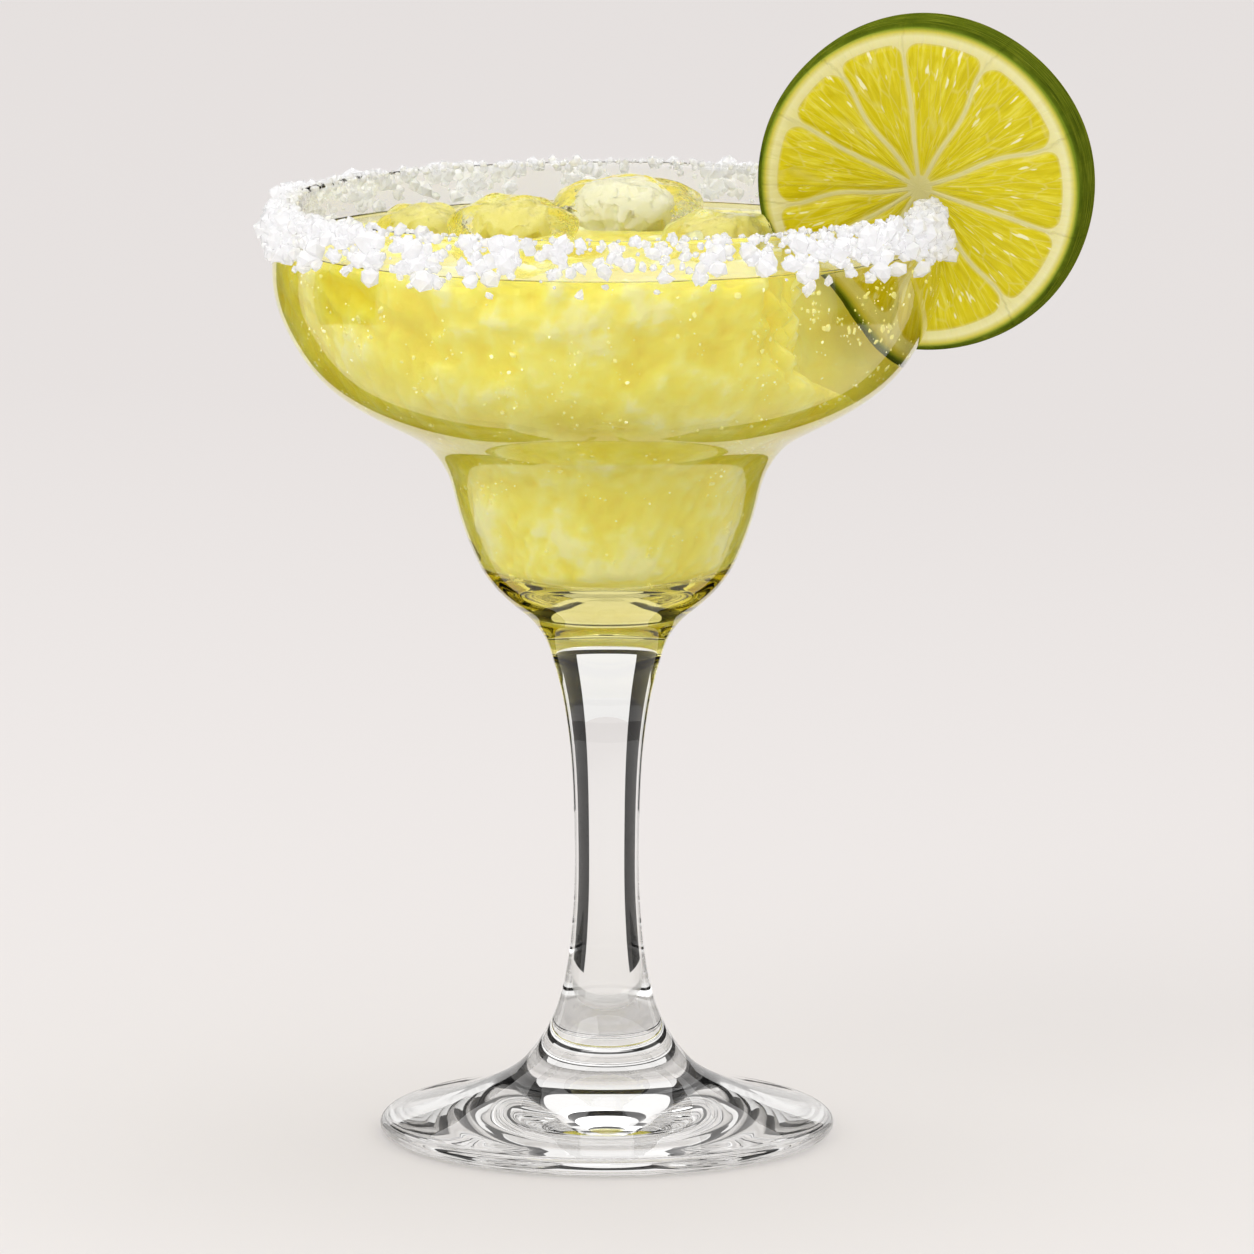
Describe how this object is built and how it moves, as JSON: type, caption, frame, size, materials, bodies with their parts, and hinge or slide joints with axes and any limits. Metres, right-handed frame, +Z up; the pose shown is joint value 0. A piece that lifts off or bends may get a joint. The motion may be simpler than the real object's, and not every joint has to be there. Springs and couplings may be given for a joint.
{
  "type": "margarita cocktail",
  "caption": "Iced lime margarita in a stepped, stemmed glass with a salted rim and a lime wheel hung on the rim.",
  "frame": {"origin": "on the glass axis, in the plane the foot stands on", "axes": "+Z up along the glass axis; +X towards the place on the rim where the lime wheel hangs; -Y towards the side the wheel's cut face looks to"},
  "size_m": [0.1451, 0.1187, 0.1983],
  "materials": {
    "glass": "clear, polished",
    "drink": "cloudy yellow-green drink full of crushed ice",
    "ice": "wet, cloudy",
    "lime_peel": "green rind with a pale pith",
    "lime_pulp": "wet",
    "salt": "coarse white crystals"
  },
  "bodies": {
    "root": {"glass": "glass", "drink": "drink", "ice_lump_1": "ice", "ice_lump_2": "ice", "ice_lump_3": "ice", "ice_lump_4": "ice", "ice_lump_5": "ice", "lime_peel": "lime_peel", "lime_segment_1": "lime_pulp", "lime_segment_2": "lime_pulp", "lime_segment_3": "lime_pulp", "lime_segment_4": "lime_pulp", "lime_segment_5": "lime_pulp", "lime_segment_6": "lime_pulp", "lime_segment_7": "lime_pulp", "lime_segment_8": "lime_pulp", "lime_segment_9": "lime_pulp", "lime_segment_inside": "lime_pulp", "lime_segment_outside": "lime_pulp", "salt_rim": "salt"}
  },
  "joints": []
}
